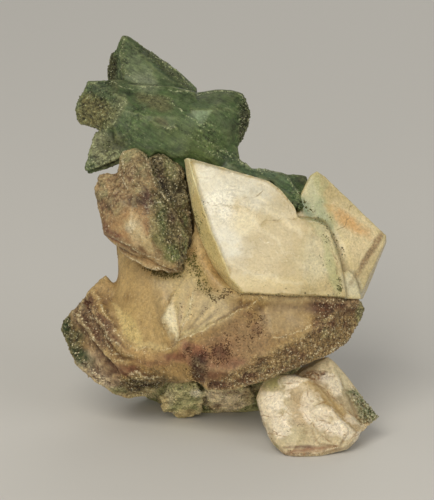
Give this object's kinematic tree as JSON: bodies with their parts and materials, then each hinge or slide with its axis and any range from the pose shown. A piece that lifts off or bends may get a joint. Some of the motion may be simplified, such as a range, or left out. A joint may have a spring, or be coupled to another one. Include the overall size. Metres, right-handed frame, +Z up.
{
  "type": "mineral specimen",
  "caption": "Free-standing group of cream and green heulandite crystals, with a large pearly tablet in front and a flat base to rest on.",
  "frame": {"origin": "centre of the specimen's bounding box, on the surface that it stands on", "axes": "+Z up, -Y towards the viewer of the front, +X to the viewer's right"},
  "size_m": [0.0654, 0.0492, 0.0744],
  "materials": {
    "cream_crystal": "pearly cream crystal faces, satin, slightly translucent",
    "mottled_crystal": "lumpy pink-brown crystal with green drusy patches",
    "green_crystal": "green translucent crystal with sparkling drusy ends",
    "tawny_crystal": "cream to tawny crystal, brown granular edges",
    "pearly_crystal": "white pearly crystal with brown cracks",
    "matrix_rock": "rough grey-green and peach rock"
  },
  "bodies": {
    "root": {"cream_tablets": "cream_crystal", "mottled_crystals": "mottled_crystal", "green_crystals": "green_crystal", "lower_crystals": "tawny_crystal", "foot_crystal": "pearly_crystal", "matrix": "matrix_rock"}
  },
  "joints": []
}
